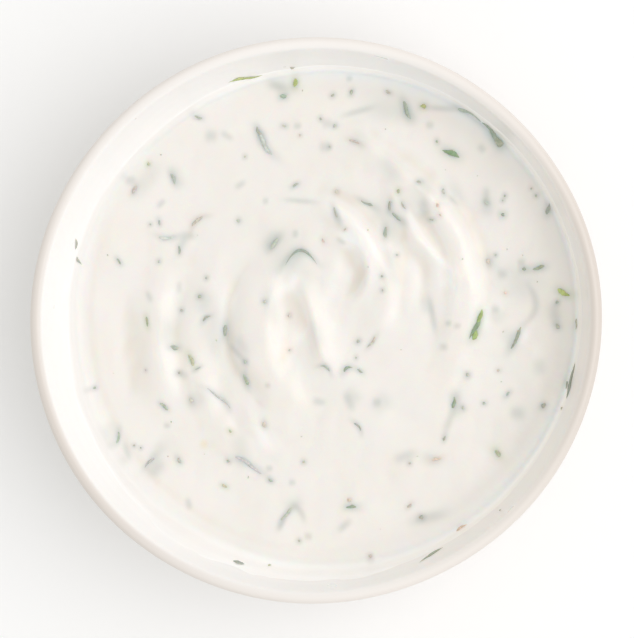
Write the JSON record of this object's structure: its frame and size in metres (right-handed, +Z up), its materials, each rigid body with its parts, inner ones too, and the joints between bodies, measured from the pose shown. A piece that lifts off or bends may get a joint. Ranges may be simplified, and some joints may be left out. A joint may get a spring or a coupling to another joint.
{
  "type": "bowl of tzatziki dip",
  "caption": "Small round bowl with a rounded lip, filled with thick white yoghurt dip that a spoon has swirled into folds, flecked with dill.",
  "frame": {"origin": "centre of the bowl's foot, on the surface that it stands on", "axes": "+Z up, out of the bowl's mouth; +X towards the right-hand folds of the swirl, along the bowl's slightly longer diameter; +Y across it"},
  "size_m": [0.1212, 0.1188, 0.042],
  "materials": {
    "bowl_glaze": "satin",
    "yoghurt": "satin",
    "dill": "satin",
    "spice": "satin"
  },
  "bodies": {
    "root": {"bowl": "bowl_glaze", "dip": "yoghurt"}
  },
  "joints": []
}
